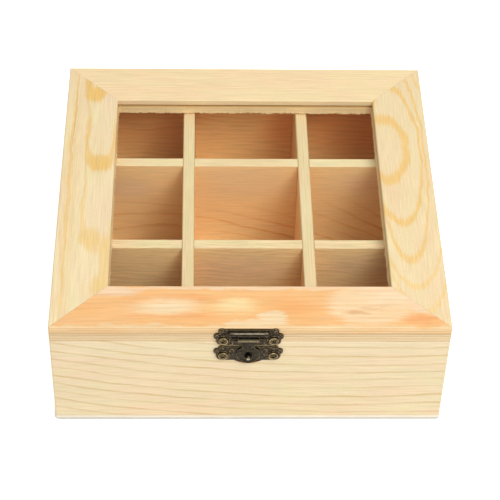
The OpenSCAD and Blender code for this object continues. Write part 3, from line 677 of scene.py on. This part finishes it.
def raised_line(verts, faces, places, face_y, thick):
    """Half-sunk round bead on a plate's front face, tapered to points at both ends."""
    first = len(verts)
    for i, (x, z) in enumerate(places):
        before, after = places[max(i - 1, 0)], places[min(i + 1, len(places) - 1)]
        run = Vector((after[0] - before[0], 0, after[1] - before[1])).normalized()
        across = Vector((run.z, 0, -run.x))
        share = i / (len(places) - 1)
        radius = thick * min(1, LINE_TIP + LINE_SWELL * share,
                             LINE_TIP + LINE_SWELL * (1 - share))
        for k in range(LINE_SIDES):
            turn = 2 * math.pi * k / LINE_SIDES
            spot = Vector((x, face_y, z)) + radius * (
                math.cos(turn) * across + math.sin(turn) * Vector((0, -1, 0)))
            verts.append(spot * MM)
    skin(faces, first, len(places), LINE_SIDES)


# Scrolls, as (first angle, last angle, first radius, last radius, steps) in degrees and mm: the
# curls on an ear and at an upper corner, and the leaf scroll and its tail
EAR_CURL = (-60, 330, 1.7, 0.35, 26)
CORNER_CURL = (-80, 300, 1.6, 0.3, 26)
LEAF = (230, -150, 1.9, 0.35, 28)
LEAF_TAIL = (100, 330, 1.5, 0.5, 18)
# Where they lie, in mm: the ear's curl in from the plate's end and up from the screw, the
# corner's in from that and down from the top, and the leaf and its tail in from the screw
EAR_IN, EAR_UP = 2.3, 3.5
CORNER_IN, CORNER_DOWN = 2.7, 2.3
LEAF_IN, TAIL_IN, TAIL_DOWN = 4.9, 4.6, 3.2
# Ring stamped round a screw: its ends in degrees, and how far out from the head it lies at each
RING_ARC, RING_START, RING_END = (60, 395), 0.75, 0.7
# Rim of the head itself, worn and painted bright as its highlight: its ends in degrees, how far
# it lies in from the head's edge and out from the plate, and its thickness
RIM_ARC, HEAD_RIM, HEAD_PROUD, RIM_THICK = (20, 375), 0.4, 0.8, 0.3


def scrollwork(name, plate_node, screws_node, body, rise):
    """Scrolls stamped on a latch plate: a ring round each screw, a curl on each ear, and a
    leaf scroll that runs from the screw to the middle. The rim of each screw's head, worn and
    painted bright as its highlight, is a piece of its own."""
    low, high = (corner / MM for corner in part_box(plate_node))
    screws_low, screws_high = (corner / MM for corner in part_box(screws_node))
    middle = (low.x + high.x) / 2
    face_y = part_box("latch_base_plate")[0].y / MM
    screw_z = (screws_low.z + screws_high.z) / 2
    head = (screws_high.z - screws_low.z) / 2
    screw_x = (screws_high.x - screws_low.x) / 2 - head
    ear_x, ear_z = (high.x - low.x) / 2 - EAR_IN, screw_z + EAR_UP
    leaf_z = screw_z + rise
    # Each line's places, and its thickness in mm
    lines = [
        (spiral(screw_x, screw_z, *RING_ARC, head + RING_START, head + RING_END, 40), 0.3),
        (spiral(ear_x, ear_z, *EAR_CURL), 0.36),
        (spiral(ear_x - CORNER_IN, high.z - CORNER_DOWN, *CORNER_CURL), 0.36),
        (spiral(screw_x - LEAF_IN, leaf_z, *LEAF), 0.4),
        (spiral(screw_x - TAIL_IN, leaf_z - TAIL_DOWN, *LEAF_TAIL), 0.34)]
    rim = spiral(screw_x, screw_z, *RIM_ARC, head - HEAD_RIM, head - HEAD_RIM, 36)
    verts, faces = [], []
    rim_verts, rim_faces = [], []
    for side in (-1, 1):
        raised_line(rim_verts, rim_faces, [(middle + side * x, z) for x, z in rim],
                    face_y - HEAD_PROUD, RIM_THICK)
        for places, thick in lines:
            raised_line(verts, faces, [(middle + side * x, z) for x, z in places], face_y,
                        thick)
    piece(name, verts, faces, rubbed_scrolls, body, smooth=True)
    piece(screws_node + "_rims", rim_verts, rim_faces, rims_worn_and_highlit, body,
          smooth=True)


def highlight_line(name, places, face_y, thick, material, body):
    """One raised line, in a pale colour that paints light along its length."""
    verts, faces = [], []
    raised_line(verts, faces, places, face_y, thick)
    piece(name, verts, faces, material, body, smooth=True)


plate_low, plate_high = (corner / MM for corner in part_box("latch_base_plate"))
latch_x = (plate_low.x + plate_high.x) / 2
# Painted highlight: a pale raised line on the upper front of the stamped ridge, where its
# crest catches the light. In mm: half its length, its level, how far it stands out from the
# plates, and its thickness
CREST_REACH, CREST_Z, CREST_PROUD, CREST_THICK = 12, 82.2, 1.52, 0.23
highlight_line("ridge_highlight_line",
            [(latch_x + x, CREST_Z) for x in range(-CREST_REACH, CREST_REACH + 1)],
            plate_low.y - CREST_PROUD, CREST_THICK, ridge_highlight, "lid")
# Lip along the bulge under the base plate, coppery as a painted reflection of the pine: the
# bulge's radius, how far the lip lies in from its edge, and its thickness, in mm, and the lip's
# two ends, in degrees
BULGE_R, LIP_IN, LIP_THICK = 15.0, 0.6, 0.55
LIP_START, LIP_END = -116, -64
highlight_line("base_plate_lip",
            spiral(latch_x, plate_low.z + BULGE_R, LIP_START, LIP_END, BULGE_R - LIP_IN,
                   BULGE_R - LIP_IN),
            plate_low.y, LIP_THICK, lip_reflection, "box")

# How far up from the screws the leaf scroll lies: low on the lid plate, to clear the hasp
LID_LEAF_RISE, BASE_LEAF_RISE = 0.6, 4.4
scrollwork("lid_plate_scrolls", "latch_lid_plate", "latch_lid_screws", "lid", LID_LEAF_RISE)
scrollwork("base_plate_scrolls", "latch_base_plate", "latch_base_screws", "box",
           BASE_LEAF_RISE)


# ---------- Sawn beads ----------

# How much lower the ragged edge of a bead hangs than its planed size, and how far apart its
# torn fibres are, in mm
BEAD_DROP, FIBRE_STEP = 1.7, 0.9
# How much of a chip and of a torn fibre's lift carries on from the one before
CHIP_CARRY, LIFT_CARRY = 0.45, 0.3


def sawn_bead(side):
    """Bead under the glass, sawn and not planed: its lower edge is ragged along its length."""
    node = "glass_bead_" + side
    low, high = (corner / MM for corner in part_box(node))
    low.z -= BEAD_DROP
    height = high.z - low.z
    runs_x = side in ("front", "back")
    span = high.x - low.x if runs_x else high.y - low.y
    width = high.y - low.y if runs_x else high.x - low.x
    out = 1 if side in ("back", "right") else -1
    inner = (low if out > 0 else high).y if runs_x else (low if out > 0 else high).x
    chips = random.Random(side)
    steps = int(span / FIBRE_STEP)
    verts, faces = [], []
    chip, torn = 0.5, 0.5
    for i in range(steps + 1):
        chip = CHIP_CARRY * chip + (1 - CHIP_CARRY) * chips.uniform(0, 1)
        torn = LIFT_CARRY * torn + (1 - LIFT_CARRY) * chips.uniform(0, 1)
        # The section's points, back from the inner face and up from the underside
        section = [
            (-0.9 * chip, 0.1 + 1.6 * torn),            # lower edge, where torn fibres stand out
            (-0.3 * chip, 2.6 + 0.5 * torn),            # inner face
            (0.05 * chip, height),                      # under the edge of the glass
            (width, height),                            # against the frame
            (width, 0.05 + 0.3 * chip),                 # lower edge at the back
            (0.9 + 0.8 * chip, 0.05 + 0.15 * chip)]     # sawn underside
        for back, up in section:
            half = span / 2 - width + back
            along = half * (2 * i / steps - 1)
            place = (along, inner + out * back) if runs_x else (inner + out * back, along)
            verts.append(Vector((*place, low.z + up)) * MM)
    skin(faces, 0, steps + 1, len(section))
    made = piece("sawn_bead_" + side, verts, faces, NODES[node].data.materials[0], "lid")
    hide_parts(node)


for side in ("front", "back", "left", "right"):
    sawn_bead(side)


# ---------- Camera, light and floor ----------

# The photograph's view, fitted to the corners of the box: 45 degrees down, turned and rolled by
# about 2 degrees
TURN, DOWN, ROLL = math.radians(2.2911), math.radians(45.4404), math.radians(-1.7747)
EYE = (-0.029402, -0.804653, 0.846343)      # m
SENSOR, LENS = 36, 124.478                  # mm
NEAREST = 0.05                              # m
ahead = Vector((math.sin(TURN) * math.cos(DOWN), math.cos(TURN) * math.cos(DOWN),
                -math.sin(DOWN)))
level = Vector((math.cos(TURN), -math.sin(TURN), 0))
below = ahead.cross(level)
right = math.cos(ROLL) * level + math.sin(ROLL) * below
down = -math.sin(ROLL) * level + math.cos(ROLL) * below
camera = bpy.data.objects.new("camera", bpy.data.cameras.new("camera"))
camera.data.sensor_width = SENSOR
camera.data.lens = LENS
camera.data.clip_start = NEAREST
camera.matrix_world = Matrix.Translation(EYE) @ Matrix(
    (right, -down, -ahead)).transposed().to_4x4()
bpy.context.scene.collection.objects.link(camera)
bpy.context.scene.camera = camera

BOX_MIDDLE = Vector((0, 0, 0.04))


def softbox(name, place, size, power, colour):
    """Square studio lamp that shines at the middle of the box."""
    lamp = bpy.data.lights.new(name, "AREA")
    lamp.size = size
    lamp.energy = power
    lamp.color = colour
    box = bpy.data.objects.new(name, lamp)
    box.location = place
    box.rotation_euler = (BOX_MIDDLE - Vector(place)).to_track_quat("-Z", "Y").to_euler()
    bpy.context.scene.collection.objects.link(box)


softbox("key_softbox", (0.65, -0.85, 1.5), 0.9, 18.5, (1, 0.985, 0.95))
softbox("front_softbox", (-0.5, -1.6, 0.45), 0.9, 1.2, (1, 0.99, 0.97))


def seen(tree, mirrored):
    """1 for rays by which the background is seen, directly or through the glass, and a given
    share of it for those by which it is seen mirrored."""
    ray = add(tree, "LightPath")
    mirror = add(tree, "Math", [ray.outputs["Is Glossy Ray"], mirrored], operation="MULTIPLY")
    direct = add(tree, "Math", [ray.outputs["Is Camera Ray"], mirror], operation="MAXIMUM")
    return add(tree, "Math", [direct, ray.outputs["Is Transmission Ray"]], operation="MAXIMUM")


# Strength of the white studio as light on the box, and as background
STUDIO_LIGHT, STUDIO_SEEN = 0.6, 1.0
world = bpy.data.worlds.new("white_studio")
world.use_nodes = True
bpy.context.scene.world = world
tree = world.node_tree
tree.nodes.clear()
strength = add(tree, "MapRange", [seen(tree, 1), 0, 1, STUDIO_LIGHT, STUDIO_SEEN])
sky = add(tree, "Background", {"Color": (1, 1, 1, 1), "Strength": strength})
add(tree, "OutputWorld", [sky])

# Floor: a matt white sweep of paper, a hair below the box. As light on the box it is plain
# white, and seen directly it is lit well beyond white. Mirrored, it is in between
FLOOR_SIZE, FLOOR_DROP = 12, 0.0002
PAPER, PAPER_SEEN, PAPER_MIRRORED = 0.86, 2.2, 0.45
bpy.ops.mesh.primitive_plane_add(size=FLOOR_SIZE, location=(0, 0, -FLOOR_DROP))
floor = bpy.context.object
floor.name = "floor"
material, tree = new_material("white_paper")
paper = add(tree, "Mix", {0: seen(tree, PAPER_MIRRORED), 6: (PAPER, PAPER, PAPER, 1),
                          7: (PAPER_SEEN, PAPER_SEEN, PAPER_SEEN, 1)}, data_type="RGBA")
# Painted shade: a thin dark line on the paper where the box stands, darkest where the paper is
# most closed in
contact_shade = add(tree, "AmbientOcclusion", {"Distance": 2.5 * MM}, samples=8)
contact_shade = add(tree, "MapRange", [contact_shade.outputs["AO"], 0.55, 0.95, 0.34, 1])
paper = add(tree, "Mix", {0: 1.0, 6: paper, 7: contact_shade}, data_type="RGBA",
            blend_type="MULTIPLY")
# Tooth of the paper, 1.1 mm across
grain = add(tree, "TexNoise", {"Vector": add(tree, "TexCoord").outputs["Object"],
                               "Scale": 900, "Detail": 2})
add(tree, "OutputMaterial", [add(tree, "BsdfDiffuse", {
    "Color": paper, "Normal": add(tree, "Bump", {"Strength": 0.05, "Distance": 0.05 * MM,
                                                 "Height": grain})})])
floor.data.materials.append(material)

bpy.context.scene.view_settings.view_transform = "Standard"
